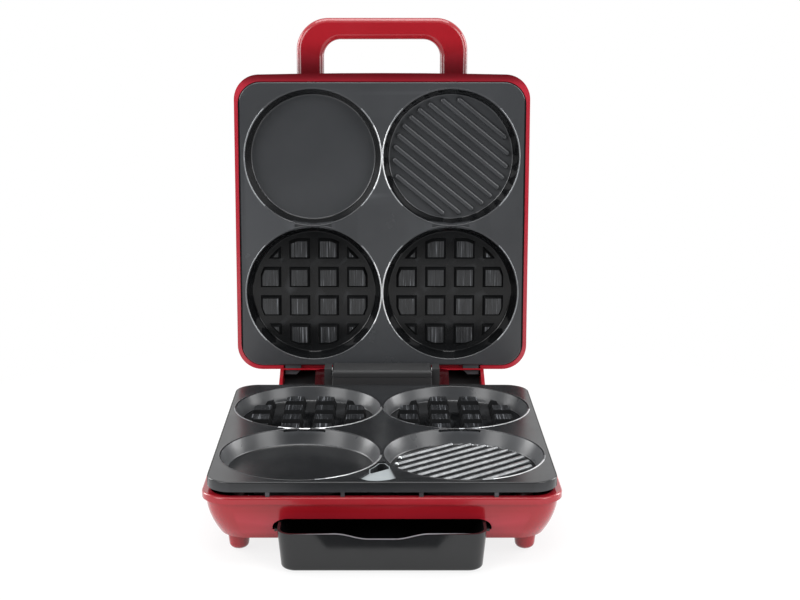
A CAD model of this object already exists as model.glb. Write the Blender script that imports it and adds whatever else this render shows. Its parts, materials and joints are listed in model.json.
# %% [markdown]
# # An electric contact grill, dressed for a studio picture
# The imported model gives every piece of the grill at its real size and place, in metres. This notebook
# gives the pieces their finish, tells the light how each surface is turned, and models what the plain
# solids lack: worn rims on the wells, ringed lenses, crossed screws and ringed pads. The first cell loads
# the model and keeps its box, so that the last one can write both sizes.

# %% Load the model
import json
from math import atan2, cos, degrees, pi, radians, sin

import bmesh
import bpy
from mathutils import Matrix, Vector


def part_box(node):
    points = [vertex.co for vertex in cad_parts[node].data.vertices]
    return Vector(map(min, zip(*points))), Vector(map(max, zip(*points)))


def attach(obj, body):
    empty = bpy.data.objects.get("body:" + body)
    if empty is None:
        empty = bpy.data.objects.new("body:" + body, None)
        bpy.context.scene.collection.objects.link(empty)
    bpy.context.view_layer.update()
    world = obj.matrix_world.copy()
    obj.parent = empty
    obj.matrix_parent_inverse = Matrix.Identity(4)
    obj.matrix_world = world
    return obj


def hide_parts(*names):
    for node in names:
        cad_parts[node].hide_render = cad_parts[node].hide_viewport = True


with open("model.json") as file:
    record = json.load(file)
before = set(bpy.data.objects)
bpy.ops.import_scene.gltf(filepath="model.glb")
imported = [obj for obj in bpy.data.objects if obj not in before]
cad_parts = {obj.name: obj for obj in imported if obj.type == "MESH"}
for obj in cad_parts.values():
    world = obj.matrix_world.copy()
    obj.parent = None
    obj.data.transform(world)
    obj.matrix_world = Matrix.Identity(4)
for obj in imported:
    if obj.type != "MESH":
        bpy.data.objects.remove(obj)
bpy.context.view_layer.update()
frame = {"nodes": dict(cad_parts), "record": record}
scene = bpy.context.scene
mm = 0.001
print("pieces in the frame:", len(frame["nodes"]))

# %% [markdown]
# ## The camera
# The camera stands in front of the grill and a little above it, and looks slightly down. A lens of about
# 67 mm keeps the lid's sides nearly upright. The grill stands left of the middle of the picture, which a
# small sideways shift of the lens gives without turning the camera.

# %% Stand the camera
sensor_width = 36.0
lens_length = 66.7
sideways_shift = 0.0225
camera_place = (0.0, -1.1603, 0.416)
camera_tilt = 77.37

camera_data = bpy.data.cameras.new("front_camera")
camera_data.sensor_width = sensor_width
camera_data.lens = lens_length
camera_data.shift_x = sideways_shift
camera = bpy.data.objects.new("front_camera", camera_data)
camera.location = camera_place
camera.rotation_euler = (radians(camera_tilt), 0.0, 0.0)
scene.collection.objects.link(camera)
scene.camera = camera
scene.view_settings.view_transform = "Standard"
print("camera looks down by", round(90 - camera_tilt, 2), "degrees")

# %% [markdown]
# ## A white room
# Small appliances are photographed in a white tent. The world below is white to the camera and to
# reflections, and gives an even, weaker light to everything else. Light Path tells which kind of ray asks.

# %% Make the white world
white = (1.0, 1.0, 1.0, 1.0)
fill_strength = 0.55


def larger_of(tree, first, second):
    pick = tree.nodes.new("ShaderNodeMath")
    pick.operation = "MAXIMUM"
    tree.links.new(first, pick.inputs[0])
    tree.links.new(second, pick.inputs[1])
    return pick.outputs[0]


world = bpy.data.worlds.new("white_tent")
scene.world = world
world.use_nodes = True
tree = world.node_tree
tree.nodes.clear()
fill_light = tree.nodes.new("ShaderNodeBackground")
fill_light.inputs["Color"].default_value = white
fill_light.inputs["Strength"].default_value = fill_strength
seen_white = tree.nodes.new("ShaderNodeBackground")
seen_white.inputs["Color"].default_value = white
seen_white.inputs["Strength"].default_value = 1.0
ray = tree.nodes.new("ShaderNodeLightPath")
seen = larger_of(tree, ray.outputs["Is Camera Ray"], ray.outputs["Is Glossy Ray"])
seen = larger_of(tree, seen, ray.outputs["Is Transmission Ray"])
mix = tree.nodes.new("ShaderNodeMixShader")
out = tree.nodes.new("ShaderNodeOutputWorld")
tree.links.new(seen, mix.inputs[0])
tree.links.new(fill_light.outputs[0], mix.inputs[1])
tree.links.new(seen_white.outputs[0], mix.inputs[2])
tree.links.new(mix.outputs[0], out.inputs[0])
print("world nodes:", len(tree.nodes))

# %% [markdown]
# ## The floor
# The floor is the same white. A share of its colour is given as light to the camera and to reflections,
# and the rest is a plain white surface that keeps the grill's shadow. The share grows to the whole away
# from the grill, so the floor joins the world without an edge.

# %% Lay the floor
floor_size = 8.0
floor_white = (0.9, 0.9, 0.9, 1.0)
shadow_reach = 0.22
all_white_from = 0.5
near_share = 0.82

bpy.ops.object.select_all(action="DESELECT")
bpy.ops.mesh.primitive_plane_add(size=floor_size, location=(0.0, 0.0, 0.0))
floor = bpy.context.object
floor.name = "floor"
floor_paint = bpy.data.materials.new("white_floor")
floor_paint.use_nodes = True
tree = floor_paint.node_tree
tree.nodes.clear()
matt_white = tree.nodes.new("ShaderNodeBsdfDiffuse")
matt_white.inputs["Color"].default_value = floor_white
glow = tree.nodes.new("ShaderNodeEmission")
glow.inputs["Color"].default_value = white
glow.inputs["Strength"].default_value = 1.0
where = tree.nodes.new("ShaderNodeTexCoord")
from_grill = tree.nodes.new("ShaderNodeVectorMath")
from_grill.operation = "LENGTH"
whiter_away = tree.nodes.new("ShaderNodeMapRange")
whiter_away.inputs["From Min"].default_value = shadow_reach
whiter_away.inputs["From Max"].default_value = all_white_from
whiter_away.inputs["To Min"].default_value = near_share
whiter_away.inputs["To Max"].default_value = 1.0
ray = tree.nodes.new("ShaderNodeLightPath")
seen = larger_of(tree, ray.outputs["Is Camera Ray"], ray.outputs["Is Glossy Ray"])
share = tree.nodes.new("ShaderNodeMath")
share.operation = "MULTIPLY"
mix = tree.nodes.new("ShaderNodeMixShader")
out = tree.nodes.new("ShaderNodeOutputMaterial")
tree.links.new(where.outputs["Object"], from_grill.inputs[0])
tree.links.new(from_grill.outputs["Value"], whiter_away.inputs["Value"])
tree.links.new(seen, share.inputs[0])
tree.links.new(whiter_away.outputs["Result"], share.inputs[1])
tree.links.new(share.outputs[0], mix.inputs[0])
tree.links.new(matt_white.outputs[0], mix.inputs[1])
tree.links.new(glow.outputs[0], mix.inputs[2])
tree.links.new(mix.outputs[0], out.inputs[0])
floor.data.materials.append(floor_paint)
print("floor laid")

# %% [markdown]
# ## The lamps
# Two soft boxes stand in front, left and right of the camera, and one hangs above. Gloss shows them as the
# pale bands on the red shell, and their size keeps the shadows soft. Two smaller ones stand behind at the
# sides, low down, and draw light along the walls of the wells and the edges that face sideways.

# %% Hang the lamps
grill_middle = (0.0, 0.0, 0.12)
box_size = (0.9, 1.2)
top_size = (1.2, 1.0)
kicker_size = (0.5, 1.0)


def soft_box(name, place, size, power):
    lamp_data = bpy.data.lights.new(name, "AREA")
    lamp_data.shape = "RECTANGLE"
    lamp_data.size = size[0]
    lamp_data.size_y = size[1]
    lamp_data.energy = power
    lamp = bpy.data.objects.new(name, lamp_data)
    lamp.location = place
    aim = Vector(grill_middle) - Vector(place)
    lamp.rotation_euler = aim.to_track_quat("-Z", "Y").to_euler()
    scene.collection.objects.link(lamp)


soft_box("left_box", (-1.3, -1.1, 0.9), box_size, 17.0)
soft_box("right_box", (1.3, -1.0, 0.9), box_size, 15.0)
soft_box("top_box", (0.0, 0.1, 1.7), top_size, 14.0)
soft_box("left_kicker", (-1.25, 0.5, 0.5), kicker_size, 12.0)
soft_box("right_kicker", (1.25, 0.5, 0.5), kicker_size, 12.0)

# %% [markdown]
# ## Cards that only gloss can see
# Dark, glossy things need dark things to mirror, or they turn milky in a white room. A photographer hangs
# a black curtain behind the camera and lays a black card on the table in front. A bright panel overhead
# draws the thin white lines on rims and ribs. Only reflections see these cards, so they neither light nor
# shade the grill.

# %% Hang the cards
def gloss_card(name, outline, strength):
    mesh = bpy.data.meshes.new(name)
    mesh.from_pydata(outline, [], [list(range(len(outline)))])
    card = bpy.data.objects.new(name, mesh)
    scene.collection.objects.link(card)
    paint = bpy.data.materials.new(name)
    paint.use_nodes = True
    tree = paint.node_tree
    tree.nodes.clear()
    light = tree.nodes.new("ShaderNodeEmission")
    light.inputs["Color"].default_value = white
    light.inputs["Strength"].default_value = strength
    out = tree.nodes.new("ShaderNodeOutputMaterial")
    tree.links.new(light.outputs[0], out.inputs["Surface"])
    mesh.materials.append(paint)
    card.visible_camera = False
    card.visible_diffuse = False
    card.visible_shadow = False
    card.visible_transmission = False
    card.visible_volume_scatter = False


black_cloth = 0.03
curtain_y = -1.5
curtain_half = 0.95
curtain_low = 0.02
curtain_high = 1.15
curtain = [
    (-curtain_half, curtain_y, curtain_low),
    (curtain_half, curtain_y, curtain_low),
    (curtain_half, curtain_y, curtain_high),
    (-curtain_half, curtain_y, curtain_high),
]
gloss_card("dark_curtain", curtain, black_cloth)
card_z = 0.0005
card_side = [(0.040, -0.216), (0.055, -0.245), (0.072, -0.29), (0.100, -0.42)]
table_card = [(-x, y, card_z) for x, y in card_side]
table_card += [(x, y, card_z) for x, y in reversed(card_side)]
gloss_card("table_card", table_card, black_cloth)
panel_z = 1.45
panel_half = 0.6
panel_front = -0.35
panel_back = 0.45
panel_strength = 6.0
panel = [
    (-panel_half, panel_front, panel_z),
    (panel_half, panel_front, panel_z),
    (panel_half, panel_back, panel_z),
    (-panel_half, panel_back, panel_z),
]
gloss_card("bright_panel", panel, panel_strength)
print("cards hung")

# %% [markdown]
# ## How the finishes are built
# Every finish is a Principled shader whose colour, roughness and bump come from noise in object
# coordinates. A real moulding is never one colour: the colour drifts a little over a hand's width, the
# roughness changes where it was touched, and a fine bump breaks up the reflections. The helpers below add
# one such layer each, so that each finish reads as a short list of layers. Noise has a scale, in repeats
# to the metre, and a detail. A colour runs between two tones. A bump layer is a pattern, the height of its
# bumps and its strength, and gloss is a pair, the lowest and the highest roughness.

# %% Helpers for colour and roughness
noise_low = 0.3
noise_high = 0.7


def new_finish(name):
    material = bpy.data.materials.new(name)
    material.use_nodes = True
    tree = material.node_tree
    tree.nodes.clear()
    out = tree.nodes.new("ShaderNodeOutputMaterial")
    surface = tree.nodes.new("ShaderNodeBsdfPrincipled")
    tree.links.new(surface.outputs["BSDF"], out.inputs["Surface"])
    return material, tree, surface


def object_noise(tree, scale, detail=2.0, stretch=(1.0, 1.0, 1.0)):
    where = tree.nodes.new("ShaderNodeTexCoord")
    place = tree.nodes.new("ShaderNodeMapping")
    place.inputs["Scale"].default_value = stretch
    noise = tree.nodes.new("ShaderNodeTexNoise")
    noise.inputs["Scale"].default_value = scale
    noise.inputs["Detail"].default_value = detail
    tree.links.new(where.outputs["Object"], place.inputs["Vector"])
    tree.links.new(place.outputs["Vector"], noise.inputs["Vector"])
    return noise.outputs["Fac"]


def ramp(tree, value, stops):
    # a new ramp has two stops, and any further one is added
    band = tree.nodes.new("ShaderNodeValToRGB")
    tree.links.new(value, band.inputs["Fac"])
    for number, (position, colour) in enumerate(stops):
        if number < 2:
            stop = band.color_ramp.elements[number]
            stop.position = position
        else:
            stop = band.color_ramp.elements.new(position)
        stop.color = (*colour, 1.0)
    return band.outputs["Color"]


def two_tones(tree, value, deep, pale, spread=0.15):
    return ramp(tree, value, [(0.5 - spread, deep), (0.5 + spread, pale)])


def to_range(tree, value, low, high):
    spread = tree.nodes.new("ShaderNodeMapRange")
    spread.inputs["From Min"].default_value = noise_low
    spread.inputs["From Max"].default_value = noise_high
    spread.inputs["To Min"].default_value = low
    spread.inputs["To Max"].default_value = high
    tree.links.new(value, spread.inputs["Value"])
    return spread.outputs["Result"]


print("noise runs mostly between", noise_low, "and", noise_high)


# %% Helpers for bump and wear
def bumps(tree, surface, layers):
    normal = None
    for value, distance, strength in layers:
        bump = tree.nodes.new("ShaderNodeBump")
        bump.inputs["Distance"].default_value = distance
        bump.inputs["Strength"].default_value = strength
        tree.links.new(value, bump.inputs["Height"])
        if normal is not None:
            tree.links.new(normal, bump.inputs["Normal"])
        normal = bump.outputs["Normal"]
    tree.links.new(normal, surface.inputs["Normal"])


def worn_edges(tree, colour, worn_colour, low, high):
    geometry = tree.nodes.new("ShaderNodeNewGeometry")
    edge = tree.nodes.new("ShaderNodeMapRange")
    edge.inputs["From Min"].default_value = low
    edge.inputs["From Max"].default_value = high
    tree.links.new(geometry.outputs["Pointiness"], edge.inputs["Value"])
    mix = tree.nodes.new("ShaderNodeMix")
    mix.data_type = "RGBA"
    tree.links.new(edge.outputs["Result"], mix.inputs["Factor"])
    tree.links.new(colour, mix.inputs["A"])
    mix.inputs["B"].default_value = (*worn_colour, 1.0)
    return mix.outputs["Result"]


print("helpers for finishes ready")

# %% [markdown]
# ## Red moulded plastic
# The shells and the handle are one glossy red plastic. Its colour drifts between two close reds, the gloss
# has faint wiping marks, and a long shallow wave bends the reflections as a moulded wall does. The legs of
# the handle and the top of the lid's rim turn deeper, over a stretch of height. The lid's outside is the
# same plastic with a satin face, and low between the arms it is so shaded that a deep red of its own is
# mixed.

# %% Mix the red plastic
deep_red = (0.26, 0.006, 0.011)
pale_red = (0.30, 0.009, 0.016)
rubbed_red = (0.38, 0.02, 0.035)
deepest_red = (0.085, 0.003, 0.006)
shell_gloss = (0.13, 0.24)
satin_gloss = (0.4, 0.5)
along_the_mould = (1.0, 1.0, 0.4)


def deeper_towards(tree, colour, full, deepest):
    where = tree.nodes.new("ShaderNodeTexCoord")
    parts = tree.nodes.new("ShaderNodeSeparateXYZ")
    fade = tree.nodes.new("ShaderNodeMapRange")
    fade.inputs["From Min"].default_value = full
    fade.inputs["From Max"].default_value = deepest
    fade.interpolation_type = "SMOOTHSTEP"
    mix = tree.nodes.new("ShaderNodeMix")
    mix.data_type = "RGBA"
    tree.links.new(where.outputs["Object"], parts.inputs["Vector"])
    tree.links.new(parts.outputs["Z"], fade.inputs["Value"])
    tree.links.new(fade.outputs["Result"], mix.inputs["Factor"])
    tree.links.new(colour, mix.inputs["A"])
    mix.inputs["B"].default_value = (*deepest_red, 1.0)
    return mix.outputs["Result"]


def red_plastic(name, full=None, deepest=None, gloss=shell_gloss, clear_coat=0.25, shine=0.5):
    # full and deepest are the heights where the red starts to turn and where it is deepest
    material, tree, surface = new_finish(name)
    drift = object_noise(tree, scale=9.0, detail=3.0)
    colour = two_tones(tree, drift, deep_red, pale_red)
    colour = worn_edges(tree, colour, rubbed_red, low=0.52, high=0.62)
    if full is not None:
        colour = deeper_towards(tree, colour, full, deepest)
    tree.links.new(colour, surface.inputs["Base Color"])
    wiped = object_noise(tree, scale=26.0, detail=4.0, stretch=along_the_mould)
    tree.links.new(to_range(tree, wiped, *gloss), surface.inputs["Roughness"])
    surface.inputs["Specular IOR Level"].default_value = shine
    surface.inputs["Coat Weight"].default_value = clear_coat
    surface.inputs["Coat Roughness"].default_value = 0.06
    wave = object_noise(tree, scale=14.0, detail=1.0)
    peel = object_noise(tree, scale=420.0)
    bumps(tree, surface, [(wave, 1.2 * mm, 0.1), (peel, 0.08 * mm, 0.12)])
    return material


red = red_plastic("red_plastic")
handle_red = red_plastic("handle_red", full=358 * mm, deepest=328 * mm)
rim_red = red_plastic("rim_red", full=312 * mm, deepest=326 * mm)
satin_red = red_plastic("satin_red", gloss=satin_gloss, clear_coat=0.0, shine=0.15)
print("reds mixed:", red.name, handle_red.name, rim_red.name, satin_red.name)


# %% Mix the deep red
def shaded_red_plastic():
    material, tree, surface = new_finish("shaded_red_plastic")
    drift = object_noise(tree, scale=9.0, detail=3.0)
    colour = two_tones(tree, drift, (0.030, 0.001, 0.002), (0.045, 0.001, 0.003))
    tree.links.new(colour, surface.inputs["Base Color"])
    wiped = object_noise(tree, scale=26.0, detail=4.0)
    tree.links.new(to_range(tree, wiped, 0.1, 0.18), surface.inputs["Roughness"])
    peel = object_noise(tree, scale=420.0)
    bumps(tree, surface, [(peel, 0.08 * mm, 0.12)])
    return material


shaded_red = shaded_red_plastic()
print(shaded_red.name, "mixed")

# %% [markdown]
# ## Non-stick coating
# The cast plates are sprayed with a dark non-stick coat, and it isn't the same all over. The lid's plate
# has a satin coat. The lower plate is used more and looks darker, darkest on the floor of its flat well.
# In the waffle wells the coat pools and turns glossy, on the walls of the wells it lies thin and rough,
# and the side edges are left matt black. One function mixes them all, with a fine grain and slightly
# lighter edges where brushes rub. The tops of the waffle blocks are rubbed in streaks.

# %% Mix the coats
def coat(name, deep, pale, gloss, rubbed_colour, grain_strength=0.22, shine=0.5):
    material, tree, surface = new_finish(name)
    surface.inputs["Specular IOR Level"].default_value = shine
    drift = object_noise(tree, scale=12.0, detail=4.0)
    colour = two_tones(tree, drift, deep, pale)
    colour = worn_edges(tree, colour, rubbed_colour, low=0.53, high=0.65)
    tree.links.new(colour, surface.inputs["Base Color"])
    rubbed = object_noise(tree, scale=34.0, detail=5.0)
    tree.links.new(to_range(tree, rubbed, *gloss), surface.inputs["Roughness"])
    pool = object_noise(tree, scale=60.0)
    grain = object_noise(tree, scale=1500.0)
    bumps(tree, surface, [(pool, 0.4 * mm, 0.06), (grain, 0.06 * mm, grain_strength)])
    return material


def cool(level):
    # a grey with a slight blue cast
    return (level * 0.95, level, level * 1.08)


used_gloss = (0.19, 0.27)
pooled_gloss = (0.08, 0.14)
satin_coat = coat("satin_coat", cool(0.037), cool(0.045), (0.2, 0.28), cool(0.08))
used_coat = coat("used_coat", cool(0.0125), cool(0.0165), used_gloss, cool(0.05), shine=0.4)
floor_coat = coat("floor_coat", cool(0.011), cool(0.015), used_gloss, cool(0.05))
pooled_coat = coat("pooled_coat", cool(0.006), cool(0.009), pooled_gloss, cool(0.12), 0.08, shine=0.3)
thin_coat = coat("thin_coat", cool(0.034), cool(0.046), (0.26, 0.36), cool(0.09))
edge_coat = coat("edge_coat", cool(0.004), cool(0.006), (0.6, 0.7), cool(0.008), shine=0.08)
print("coats mixed")


# %% Mix the streaked coat
def streaked_coat():
    material, tree, surface = new_finish("streaked_coat")
    streak = object_noise(tree, scale=900.0, detail=3.0, stretch=(1.0, 0.03, 0.03))
    stops = [(0.40, cool(0.012)), (0.60, cool(0.030)), (0.70, cool(0.16))]
    tree.links.new(ramp(tree, streak, stops), surface.inputs["Base Color"])
    tree.links.new(to_range(tree, streak, 0.12, 0.22), surface.inputs["Roughness"])
    bumps(tree, surface, [(streak, 0.2 * mm, 0.3)])
    return material


brushed_coat = streaked_coat()
print(brushed_coat.name, "mixed")

# %% [markdown]
# ## Dark plastics and rubber
# The drip tray is a dark grey plastic with some gloss, rubbed pale on its scoop. The hinge block is the
# same grey, but matt. The channel behind the tray and the liners of the arms are black and almost matt,
# and the pads of the feet are rubber, with a coarse grain. One function makes them all, and each gives its
# two colours, its gloss, and the scale and strength of its grain.

# %% Mix the dark plastics
def dark_plastic(name, deep, pale, gloss, grain_scale, grain_strength):
    material, tree, surface = new_finish(name)
    drift = object_noise(tree, scale=15.0, detail=3.0)
    tree.links.new(two_tones(tree, drift, deep, pale), surface.inputs["Base Color"])
    touched = object_noise(tree, scale=40.0, detail=4.0)
    tree.links.new(to_range(tree, touched, *gloss), surface.inputs["Roughness"])
    grain = object_noise(tree, scale=grain_scale)
    bumps(tree, surface, [(grain, 0.1 * mm, grain_strength)])
    return material


grey = dark_plastic("grey_plastic", cool(0.009), cool(0.012), (0.12, 0.18), 500.0, 0.05)
rubbed_grey = dark_plastic("rubbed_grey", cool(0.16), cool(0.24), (0.25, 0.35), 500.0, 0.05)
block_grey = dark_plastic("block_plastic", cool(0.009), cool(0.013), (0.6, 0.7), 600.0, 0.12)
black = dark_plastic("black_plastic", cool(0.007), cool(0.011), (0.45, 0.6), 700.0, 0.2)
rubber = dark_plastic("rubber", cool(0.014), cool(0.024), (0.75, 0.9), 900.0, 0.35)
print("dark finishes mixed")

# %% [markdown]
# ## Metals and ceramics
# The screws, pins and reflectors are zinc plated steel with a fine brushed grain. The plate's spacers are
# blackened, and where the coat of the plates is worn off, on ribs and rims, bare metal shows. The
# element's tube has gone brown from heat, the thermostats and the terminal block are pale ceramic, and the
# fuse is brass. The drain has a pale grey glaze.

# %% Mix the metals
def metal(name, dull, bright, gloss, lay, grain_strength=0.2):
    # the lay is the way the metal was brushed, as a stretch of the noise
    material, tree, surface = new_finish(name)
    surface.inputs["Metallic"].default_value = 1.0
    streak = object_noise(tree, scale=160.0, detail=4.0, stretch=lay)
    colour = two_tones(tree, streak, dull, bright, spread=0.2)
    tree.links.new(colour, surface.inputs["Base Color"])
    tree.links.new(to_range(tree, streak, *gloss), surface.inputs["Roughness"])
    grain = object_noise(tree, scale=900.0, stretch=lay)
    bumps(tree, surface, [(grain, 0.05 * mm, grain_strength)])
    return material


even = (1.0, 1.0, 1.0)
brushed = (1.0, 6.0, 1.0)
steel = metal("steel", (0.46, 0.46, 0.47), (0.62, 0.62, 0.63), (0.25, 0.4), brushed)
blackened = metal("blackened_steel", (0.10, 0.10, 0.11), (0.15, 0.15, 0.16), (0.35, 0.5), even)
worn_metal = metal("worn_rib", (0.33, 0.34, 0.35), (0.42, 0.43, 0.44), (0.2, 0.26), even, 0.03)
polished = metal("polished_rim", (0.70, 0.71, 0.72), (0.80, 0.81, 0.82), (0.3, 0.4), even, 0.03)
dulled = metal("dulled_rim", (0.22, 0.23, 0.24), (0.30, 0.31, 0.32), (0.3, 0.4), even, 0.03)
sheath = metal("element_sheath", (0.2, 0.18, 0.16), (0.33, 0.3, 0.27), (0.35, 0.55), even)
brass = metal("fuse_body", (0.5, 0.33, 0.12), (0.68, 0.48, 0.2), (0.25, 0.4), even)
print("metals mixed")


# %% Mix the ceramics
def stony(name, deep, pale):
    material, tree, surface = new_finish(name)
    speckle = object_noise(tree, scale=300.0, detail=4.0)
    colour = two_tones(tree, speckle, deep, pale, spread=0.2)
    tree.links.new(colour, surface.inputs["Base Color"])
    tree.links.new(to_range(tree, speckle, 0.6, 0.8), surface.inputs["Roughness"])
    grain = object_noise(tree, scale=800.0, detail=3.0)
    bumps(tree, surface, [(grain, 0.1 * mm, 0.3)])
    return material


ceramic = stony("ceramic", (0.62, 0.58, 0.5), (0.75, 0.71, 0.63))
board = stony("board", (0.24, 0.15, 0.06), (0.32, 0.21, 0.09))
pale_glaze = stony("pale_glaze", (0.23, 0.255, 0.265), (0.27, 0.295, 0.305))
print("ceramics mixed")

# %% [markdown]
# ## Coloured lenses
# The two lights have lenses of clear coloured plastic, which let part of the light through and shine.

# %% Mix the lenses
def lens(name, deep, pale):
    material, tree, surface = new_finish(name)
    cloud = object_noise(tree, scale=220.0)
    tree.links.new(two_tones(tree, cloud, deep, pale), surface.inputs["Base Color"])
    tree.links.new(to_range(tree, cloud, 0.06, 0.14), surface.inputs["Roughness"])
    surface.inputs["Transmission Weight"].default_value = 0.35
    surface.inputs["Coat Weight"].default_value = 0.5
    ripple = object_noise(tree, scale=500.0, detail=1.0)
    bumps(tree, surface, [(ripple, 0.06 * mm, 0.1)])
    return material


red_lens = lens("red_lens", (0.55, 0.02, 0.02), (0.7, 0.04, 0.03))
green_lens = lens("green_lens", (0.03, 0.4, 0.08), (0.06, 0.55, 0.14))
print("lenses mixed")

# %% [markdown]
# ## Dressing a piece of the frame
# A piece whose shape is right is copied, and its loose triangles are joined at their corners. The solids
# already have their real rounds, so no bevel is added. What such a mesh still lacks is the true direction
# of its surface at each corner: plain smooth shading bends the light on a large flat face wherever a small
# round touches it. So each corner takes the mean of the faces around it, weighed by how large the flat
# patch is that each face belongs to, and edges sharper than a limit stay sharp. The copy then stands for
# the piece. Shared helpers below read the piece's body and its material slot from the model's record.

# %% Read the bodies and slots
def bodies_of_nodes():
    found = {}
    for body, members in frame["record"]["behaviour"]["bodies"].items():
        for member in members:
            found[member] = body
    return found


body_of_node = bodies_of_nodes()
slot_of_node = {part["node"]: part["material_slot"] for part in frame["record"]["subparts"]}
print("bodies:", sorted(set(body_of_node.values())))


# %% Helpers that select and hand over
def only_select(piece):
    if bpy.context.mode != "OBJECT":
        bpy.ops.object.mode_set(mode="OBJECT")
    bpy.ops.object.select_all(action="DESELECT")
    piece.select_set(True)
    bpy.context.view_layer.objects.active = piece


def hand_over(piece, node, finish):
    piece.data.materials.clear()
    piece.data.materials.append(finish)
    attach(piece, body_of_node[node])
    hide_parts(node)


print("slots:", sorted(set(slot_of_node.values())))

# %% Helpers for the true directions
flat_limit = radians(0.4)
sharp_limit = radians(38)


def flat_patches(shape):
    patch_of = {}
    sizes = []
    for face in shape.faces:
        if face.index in patch_of:
            continue
        patch = [face]
        patch_of[face.index] = len(sizes)
        for member in patch:
            for edge in member.edges:
                for other in edge.link_faces:
                    bent = other.normal.angle(face.normal, pi)
                    if other.index not in patch_of and bent < flat_limit:
                        patch_of[other.index] = len(sizes)
                        patch.append(other)
        sizes.append(sum(member.calc_area() for member in patch))
    return patch_of, sizes


def faces_smooth_with(corner):
    found = [corner.face]
    for face in found:
        for edge in face.edges:
            if corner.vert not in edge.verts or len(edge.link_faces) != 2:
                continue
            if edge.calc_face_angle(pi) > sharp_limit:
                continue
            for other in edge.link_faces:
                if other not in found:
                    found.append(other)
    return found


def set_true_directions(piece):
    shape = bmesh.new()
    shape.from_mesh(piece.data)
    patch_of, sizes = flat_patches(shape)
    directions = []
    for face in shape.faces:
        for corner in face.loops:
            mean = Vector((0.0, 0.0, 0.0))
            for near in faces_smooth_with(corner):
                mean += near.normal * sizes[patch_of[near.index]]
            directions.append(mean.normalized() if mean.length else face.normal.copy())
    shape.free()
    piece.data.shade_smooth()
    piece.data.normals_split_custom_set(directions)


print("edges stay sharp above", round(degrees(sharp_limit)), "degrees")

# %% Helper that dresses a piece
same_place = 0.002 * mm


def dressed(node, finish):
    source = frame["nodes"][node]
    piece = source.copy()
    piece.data = source.data.copy()
    piece.name = node + "_dressed"
    piece.parent = None
    # the copy is a new piece, so the marks of the model's own piece are taken off
    for key in list(piece.keys()):
        del piece[key]
    scene.collection.objects.link(piece)
    only_select(piece)
    bpy.ops.object.mode_set(mode="EDIT")
    bpy.ops.mesh.select_all(action="SELECT")
    bpy.ops.mesh.remove_doubles(threshold=same_place)
    bpy.ops.object.mode_set(mode="OBJECT")
    set_true_directions(piece)
    hand_over(piece, node, finish)
    print(node, "dressed with", len(piece.data.polygons), "faces")
    return piece


print("corners closer than", same_place, "m are joined")

# %% Dress the shells, plates and dark pieces
dressed("base_housing", red)
lid_shell = dressed("lid_housing", red)
dressed("lid_handle", handle_red)
lower_plate = dressed("lower_plate", used_coat)
upper_plate = dressed("upper_plate", satin_coat)
tray = dressed("drip_tray", grey)
for node in ("hinge_block", "hinge_knuckles"):
    dressed(node, block_grey)
for node in ("tray_channel", "cord_gland", "arm_liners"):
    dressed(node, black)

# %% [markdown]
# ## Zones of the cooking plates
# The zones of a plate are faces of one mesh, so each face is sorted by its place. The lid's plate is
# thought closed first, turned back about the hinge, and then both plates share one set of rules: at a side
# edge, on a wall, on a block, on a rib, on the floor of a well. Each zone is one more material of the same
# piece.

# %% Sort the faces of the plates
closing_angle = radians(93)
joints = {joint["name"]: joint for joint in frame["record"]["behaviour"]["joints"]}
hinge_place = Vector(joints["lid_hinge"]["pos_m"])
plate_low, plate_high = [Vector(corner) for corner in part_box("lower_plate")]
plate_middle = (plate_low + plate_high) / 2
half_width = plate_high.x - plate_middle.x
plate_top = plate_high.z
plate_gap = 0.5 * mm
well_x = 61.25 * mm
well_y = 60.75 * mm
well_radius = 60.4 * mm
wall_radius = 54.0 * mm
well_depth = 12.0 * mm
block_height = 7.0 * mm
block_round = 0.5 * mm
rib_foot = 0.4 * mm
edge_width = 1.0 * mm
rim_depth = 1.2 * mm
steep_below = 0.8


def plate_zone(face, turn, face_height):
    place = turn @ (face.center - hinge_place) + hinge_place
    look = turn @ face.normal
    depth = abs(place.z - face_height)
    along = place.y - plate_middle.y
    if abs(place.x) > half_width - edge_width:
        return "edge"
    from_well = Vector((abs(place.x) - well_x, abs(along) - well_y)).length
    if from_well > well_radius or depth < rim_depth:
        return "face"
    if abs(look.z) < steep_below and from_well > wall_radius:
        return "wall"
    if along > 0 and depth < well_depth - block_height + block_round:
        return "block_top"
    if along > 0 and abs(look.z) < steep_below:
        return "block_side"
    if along > 0:
        return "waffle"
    if place.x > 0:
        return "rib" if depth < well_depth - rib_foot else "rib_floor"
    return "floor"


print("middle of the lower plate:", [round(value, 4) for value in plate_middle])


# %% Lay the zones
def lay_zones(piece, closing, face_height, finishes):
    turn = Matrix.Rotation(closing, 3, "X")
    numbers = {}
    for zone, finish in finishes.items():
        piece.data.materials.append(finish)
        numbers[zone] = len(piece.data.materials) - 1
    counts = dict.fromkeys(finishes, 0)
    for face in piece.data.polygons:
        zone = plate_zone(face, turn, face_height)
        if zone in numbers:
            face.material_index = numbers[zone]
            counts[zone] += 1
    print(piece.name, "zones:", counts)


waffle_zones = {"block_top": brushed_coat, "block_side": edge_coat, "waffle": pooled_coat}
rib_zones = {"rib": worn_metal, "rib_floor": pooled_coat}
lower_zones = {"edge": edge_coat, **waffle_zones, "wall": thin_coat, "floor": floor_coat, **rib_zones}
upper_zones = {"edge": edge_coat, **waffle_zones, "wall": pooled_coat}
lay_zones(lower_plate, 0.0, plate_top, lower_zones)
lay_zones(upper_plate, closing_angle, plate_top + plate_gap, upper_zones)

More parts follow.
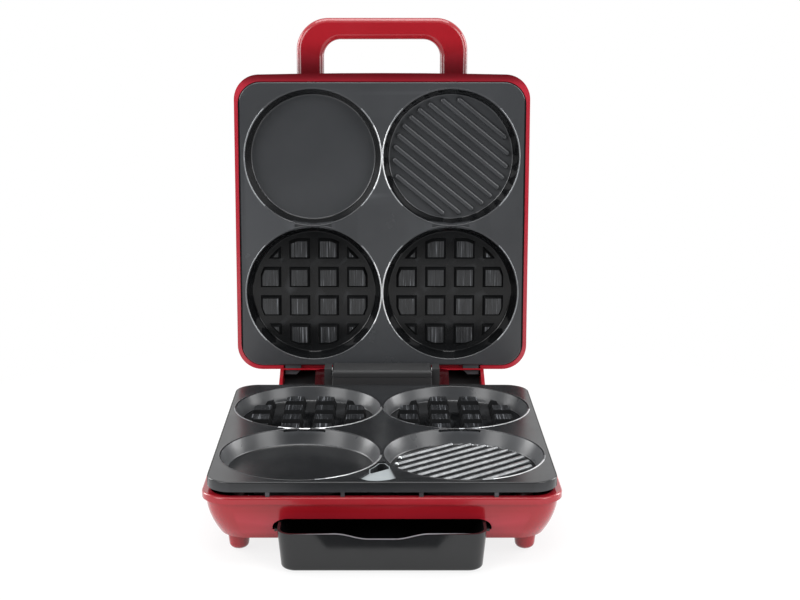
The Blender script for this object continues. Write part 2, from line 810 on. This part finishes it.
# %% [markdown]
# ## Faces with a second finish
# Fat leaves the plate through a pocket between its two front wells, whose floor is glazed pale grey. Low
# down between the arms, the red of the lid's inner cheeks is deep and dark. The front of the lid's rim
# turns deeper at the top, and its outside is satin, so that the closed lid doesn't mirror a lamp. Fingers
# rub the scoop of the tray pale. All are again faces picked by place and by the way they look.

# %% Pick the faces
def second_finish(piece, finish, wanted):
    piece.data.materials.append(finish)
    number = len(piece.data.materials) - 1
    picked = [face for face in piece.data.polygons if wanted(face)]
    for face in picked:
        face.material_index = number
    print(piece.name, "faces with", finish.name, len(picked))


drain_depth = 1.4 * mm
drain_flatness = 0.2 * mm
drain_reach = 50 * mm
cheek_top = 62 * mm
cheek_reach = 61 * mm
lid_rim_from = 300 * mm
scoop_reach = 44 * mm
scoop_depth = 14 * mm
tray_wall = 5 * mm
tray_low, tray_high = [Vector(corner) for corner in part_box("drip_tray")]


def looks_up(face):
    return face.normal.z > 0.9


def looks_forward(face):
    return face.normal.y < -0.3


def in_the_drain(face):
    near_front = face.center.y < plate_low.y + drain_reach and abs(face.center.x) < drain_reach / 2
    off_the_floor = abs(face.center.z - (plate_top - drain_depth))
    return near_front and looks_up(face) and off_the_floor < drain_flatness


def on_a_cheek(face):
    return looks_forward(face) and face.center.z < cheek_top and abs(face.center.x) < cheek_reach


def on_the_lid_rim(face):
    return looks_forward(face) and face.center.z > lid_rim_from


def on_the_lid_outside(face):
    return face.normal.y > 0.98


def on_the_scoop(face):
    at_the_front = face.center.y < tray_low.y + tray_wall and abs(face.center.x) < scoop_reach
    return at_the_front and face.normal.z > 0.6 and face.center.z > tray_high.z - scoop_depth


second_finish(lower_plate, pale_glaze, in_the_drain)
second_finish(lid_shell, shaded_red, on_a_cheek)
second_finish(lid_shell, rim_red, on_the_lid_rim)
second_finish(lid_shell, satin_red, on_the_lid_outside)
second_finish(tray, rubbed_grey, on_the_scoop)

# %% [markdown]
# ## Metal and inner pieces
# What sits inside is seen only when the grill is taken apart, but it is dressed all the same: screws, pins
# and reflectors in steel, tubes in their sheath, ceramics, the fuse and the small board behind the lights.
# The screws underneath are left out here, because they are modelled anew further down.

# %% Dress the metal and the inner pieces
seen_screws = ("lower_plate_screws", "hinge_block_screws")
for node, slot in slot_of_node.items():
    if slot == "steel" and node not in seen_screws:
        dressed(node, blackened if node in ("plate_spacers", "handle_screws") else steel)
for node in ("lower_element", "upper_element"):
    dressed(node, sheath)
for node in ("lower_thermostat", "upper_thermostat", "terminal_block"):
    dressed(node, ceramic)
dressed("thermal_fuse", brass)
dressed("lamp_board", board)

# %% [markdown]
# ## Modelling by hand
# The smallest pieces carry detail that the plain solids don't have. Each starts as a cylinder or a ring and
# is shaped in edit mode. The helpers pick faces by where they look, pull a face out, cut rings into it, and
# set the finished piece in its place with its turn and place kept in the mesh. Where the record's solids
# are loose islands, such as screws or pads, the middle of each island tells where a copy goes.

# %% Helpers for shaping
def new_cylinder(name, radius, height, sides):
    bpy.ops.object.select_all(action="DESELECT")
    bpy.ops.mesh.primitive_cylinder_add(
        vertices=sides, radius=radius, depth=height, location=(0.0, 0.0, height / 2)
    )
    piece = bpy.context.object
    piece.name = name
    bpy.ops.object.transform_apply(location=True, rotation=True, scale=True)
    return piece


def pick_faces(piece, wanted):
    only_select(piece)
    bpy.ops.object.mode_set(mode="EDIT")
    bpy.ops.mesh.select_mode(type="FACE")
    bpy.ops.mesh.select_all(action="DESELECT")
    bpy.ops.object.mode_set(mode="OBJECT")
    for face in piece.data.polygons:
        face.select = wanted(face)
    bpy.ops.object.mode_set(mode="EDIT")


def pull(distance):
    bpy.ops.mesh.extrude_region_move(TRANSFORM_OT_translate={"value": (0.0, 0.0, distance)})


def looks_down(face):
    return face.normal.z < -0.9


def cut_rings(count, width, depth):
    # every second inset goes the other way, so that grooves and ridges take turns
    for number in range(count):
        bpy.ops.mesh.inset(thickness=width, depth=depth if number % 2 else -depth)


smooth_limit = radians(35)


def finish_shape(piece):
    only_select(piece)
    bpy.ops.object.mode_set(mode="EDIT")
    bpy.ops.mesh.select_all(action="SELECT")
    bpy.ops.mesh.normals_make_consistent(inside=False)
    bpy.ops.object.mode_set(mode="OBJECT")
    bpy.ops.object.shade_smooth_by_angle(angle=smooth_limit)


print("modelled edges stay sharp above", round(degrees(smooth_limit)), "degrees")


# %% Helpers for placing
def join_pieces(pieces, name):
    bpy.ops.object.select_all(action="DESELECT")
    for piece in pieces:
        piece.select_set(True)
    bpy.context.view_layer.objects.active = pieces[0]
    if len(pieces) > 1:
        bpy.ops.object.join()
    pieces[0].name = name
    return pieces[0]


def set_copy(model, place, tilt=0.0):
    piece = model.copy()
    piece.data = model.data.copy()
    scene.collection.objects.link(piece)
    only_select(piece)
    piece.rotation_euler = (tilt, 0.0, 0.0)
    piece.location = place
    bpy.ops.object.transform_apply(location=True, rotation=True, scale=True)
    return piece


def island_places(node):
    shape = bmesh.new()
    shape.from_mesh(frame["nodes"][node].data)
    bmesh.ops.remove_doubles(shape, verts=shape.verts, dist=same_place)
    waiting = set(shape.verts)
    places = []
    while waiting:
        island = [waiting.pop()]
        for vertex in island:
            for edge in vertex.link_edges:
                neighbour = edge.other_vert(vertex)
                if neighbour in waiting:
                    waiting.remove(neighbour)
                    island.append(neighbour)
        across = [vertex.co.x for vertex in island]
        along = [vertex.co.y for vertex in island]
        places.append(((min(across) + max(across)) / 2, (min(along) + max(along)) / 2))
    shape.free()
    return sorted(places)


print("feet stand at", [(round(x, 3), round(y, 3)) for x, y in island_places("foot_pads")])

# %% [markdown]
# ## Polished rims of the wells
# Brushes and spatulas polish the rims of the wells to bare metal in places, which catches the light as
# thin white arcs. A ring is cut by a bisect, so that only its low cap stands out of the plate. Most of its
# faces keep the coat, and those in the worn arcs are bare or dull metal: on the lower wells the near right
# part of the rim, and on the lid's wells the sides of the rim and of the floor's edge, brightest between
# the wells. The lid's rings are made as if the lid were closed, then mirrored to face down and opened with
# the plate.

# %% Model the polished rims
ring_sides = 144
tube_sides = 24
rim_buried = 0.3 * mm
lower_ring = 60.9 * mm
lower_tube = 1.4 * mm
lower_proud = 0.2 * mm


def ring_cap(name, middle, radius, tube, proud):
    bpy.ops.object.select_all(action="DESELECT")
    bpy.ops.mesh.primitive_torus_add(
        major_radius=radius,
        minor_radius=tube,
        major_segments=ring_sides,
        minor_segments=tube_sides,
        location=(middle.x, middle.y, middle.z + proud - tube),
    )
    ring = bpy.context.object
    ring.name = name
    bpy.ops.object.transform_apply(location=True, rotation=True, scale=True)
    bpy.ops.object.mode_set(mode="EDIT")
    bpy.ops.mesh.select_all(action="SELECT")
    cut = (0.0, 0.0, middle.z - rim_buried)
    bpy.ops.mesh.bisect(plane_co=cut, plane_no=(0.0, 0.0, 1.0), use_fill=True, clear_inner=True)
    bpy.ops.object.mode_set(mode="OBJECT")
    finish_shape(ring)
    return ring


def within(turn, arcs):
    return any(start < turn < end for start, end in arcs)


def wear_arcs(ring, middle, coated, bare, dull):
    for finish in (coated, polished, dulled):
        ring.data.materials.append(finish)
    for face in ring.data.polygons:
        away = face.center - middle
        turn = degrees(atan2(away.y, away.x)) % 360
        if within(turn, bare):
            face.material_index = 1
        elif within(turn, dull):
            face.material_index = 2


# for each well, by its side and end: arcs of bare and of dull metal, in degrees from the right
lower_arcs = {
    (-1, -1): ([(290, 355)], [(282, 290)]),
    (1, -1): ([(288, 345)], [(280, 288), (345, 355)]),
    (-1, 1): ([(250, 357)], [(185, 225)]),
    (1, 1): ([(286, 352)], [(185, 235), (270, 286)]),
}
rims = []
for (side, end), (bare, dull) in lower_arcs.items():
    middle = Vector((side * well_x, plate_middle.y + end * well_y, plate_top))
    rim = ring_cap("lower_rim", middle, lower_ring, lower_tube, lower_proud)
    wear_arcs(rim, middle, used_coat, bare, dull)
    rims.append(rim)
lower_rims = join_pieces(rims, "lower_well_rims")
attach(lower_rims, "base")
print("lower rims have", len(lower_rims.data.polygons), "faces")

# %% Model the rims of the lid's wells
upper_proud = 0.12 * mm
# rings of the rim and of the floor's edge: radius, tube, depth below the plate's face
upper_rings = [(60.8 * mm, 0.8 * mm, 0.0), (55.9 * mm, 0.7 * mm, well_depth)]
# arcs in degrees from the right: bare metal between the wells, dull metal on both sides
right_arcs = [(0, 28), (332, 360)]
left_arcs = [(152, 208)]
side_arcs = [(0, 44), (136, 224), (316, 360)]
rims = []
for side in (-1, 1):
    for end in (-1, 1):
        for radius, tube, depth in upper_rings:
            height = plate_top + plate_gap - depth
            middle = Vector((side * well_x, plate_middle.y + end * well_y, height))
            rim = ring_cap("upper_rim", middle, radius, tube, upper_proud)
            bare = right_arcs if side < 0 else left_arcs
            wear_arcs(rim, middle, satin_coat, bare, side_arcs)
            rims.append(rim)
upper_rims = join_pieces(rims, "upper_well_rims")
only_select(upper_rims)
bpy.ops.object.mode_set(mode="EDIT")
bpy.ops.mesh.select_all(action="SELECT")
closed_face = (0.0, 0.0, plate_top + plate_gap)
bpy.ops.transform.resize(value=(1.0, 1.0, -1.0), center_override=closed_face)
bpy.ops.transform.rotate(value=closing_angle, orient_axis="X", center_override=tuple(hinge_place))
bpy.ops.mesh.normals_make_consistent(inside=False)
bpy.ops.object.mode_set(mode="OBJECT")
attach(upper_rims, "lid")
print("upper rims have", len(upper_rims.data.polygons), "faces")

# %% [markdown]
# ## The two lights
# Each light is a coloured lens pushed through the lid from inside, where its flange holds it. Fine moulded
# rings spread the light of the lamp behind it. The flange is a short cylinder, its face is inset and
# pulled out to the barrel, a bevel rounds the rim, and insets that go in and out in turn cut the rings.

# %% Model the lenses
lens_flange_radius = 4.6 * mm
lens_radius = 3.0 * mm
lens_flange = 1.2 * mm
lens_round = 0.5 * mm
lens_sides = 40
lens_rings = 6
ring_width = 0.3 * mm
ring_depth = 0.1 * mm
lens_sunk = 0.2 * mm
quite_flat = 0.99


def ringed_lens(name, barrel):
    lens_piece = new_cylinder(name, lens_flange_radius, lens_flange, lens_sides)
    pick_faces(lens_piece, looks_up)
    bpy.ops.mesh.inset(thickness=lens_flange_radius - lens_radius)
    pull(barrel)
    bpy.ops.mesh.bevel(offset=lens_round, segments=3, affect="EDGES")
    pick_faces(lens_piece, lambda face: face.normal.z > quite_flat and face.center.z > barrel)
    cut_rings(lens_rings, ring_width, ring_depth)
    finish_shape(lens_piece)
    return lens_piece


outward = Vector((0.0, sin(closing_angle), cos(closing_angle)))
for node, finish in (("power_light", red_lens), ("ready_light", green_lens)):
    low, high = [Vector(corner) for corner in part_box(node)]
    reach = (high.y - low.y) - lens_sunk
    model = ringed_lens(node + "_model", reach - lens_flange)
    start = (low + high) / 2 - outward * reach / 2
    lens_piece = join_pieces([set_copy(model, start, -closing_angle)], node + "_lens")
    bpy.data.objects.remove(model)
    hand_over(lens_piece, node, finish)
    print(node, "lens has", len(lens_piece.data.polygons), "faces")

# %% [markdown]
# ## Cross-recess screws underneath
# Three long screws hold the lower plate and two hold the hinge block, all driven from below. One screw is
# modelled, head down: its rim is bevelled to a pan head, the shank is pulled from the other side, and two
# crossed bars are cut out for the driver. Each place gets its own copy.

# %% Model a screw
head_radius = 3.2 * mm
head_height = 2.2 * mm
head_round = head_height / 3
shank_radius = 1.5 * mm
recess_length = 3.4 * mm
recess_width = 0.7 * mm
recess_depth = 1.3 * mm
round_sides = 36


def cross_screw(name, length):
    screw = new_cylinder(name, head_radius, head_height, round_sides)
    pick_faces(screw, looks_up)
    bpy.ops.mesh.inset(thickness=head_radius - shank_radius)
    pull(length)
    pick_faces(screw, looks_down)
    bpy.ops.mesh.bevel(offset=head_round, segments=3, affect="EDGES")
    bpy.ops.object.mode_set(mode="OBJECT")
    for turn in (0.0, pi / 2):
        bpy.ops.object.select_all(action="DESELECT")
        bpy.ops.mesh.primitive_cube_add(
            size=1.0, rotation=(0.0, 0.0, turn), scale=(recess_length, recess_width, 2 * recess_depth)
        )
        bar = bpy.context.object
        cut = screw.modifiers.new("recess", "BOOLEAN")
        cut.operation = "DIFFERENCE"
        cut.solver = "EXACT"
        cut.object = bar
        only_select(screw)
        bpy.ops.object.modifier_apply(modifier="recess")
        bpy.data.objects.remove(bar)
    finish_shape(screw)
    return screw


for node in seen_screws:
    low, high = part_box(node)
    model = cross_screw(node + "_model", high[2] - low[2] - head_height)
    copies = [set_copy(model, (x, y, low[2])) for x, y in island_places(node)]
    bpy.data.objects.remove(model)
    screws = join_pieces(copies, node + "_crossed")
    hand_over(screws, node, steel)
    print(node, "have", len(screws.data.polygons), "faces")

# %% [markdown]
# ## Rubber pads in the feet
# Each foot has a small rubber pad with rings moulded in its sole, which grip the worktop. The pad is a
# cylinder with a bevelled sole, and the same helper that cut the lens cuts the rings.

# %% Model the pads
pad_radius = 2.4 * mm
pad_round = 0.4 * mm
pad_rim = 0.25 * mm
pad_rings = 4
pad_ring_width = 0.3 * mm
pad_ring_depth = 0.2 * mm


def ringed_pad(name, radius, height):
    pad = new_cylinder(name, radius, height, round_sides)
    pick_faces(pad, looks_down)
    bpy.ops.mesh.bevel(offset=pad_round, segments=2, affect="EDGES")
    pick_faces(pad, lambda face: face.normal.z < -quite_flat)
    bpy.ops.mesh.inset(thickness=pad_rim)
    cut_rings(pad_rings, pad_ring_width, pad_ring_depth)
    finish_shape(pad)
    return pad


low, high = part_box("foot_pads")
model = ringed_pad("pad_model", pad_radius, high[2] - low[2])
copies = [set_copy(model, (x, y, low[2])) for x, y in island_places("foot_pads")]
bpy.data.objects.remove(model)
pads = join_pieces(copies, "foot_pads_ringed")
hand_over(pads, "foot_pads", rubber)
print("pads have", len(pads.data.polygons), "faces")
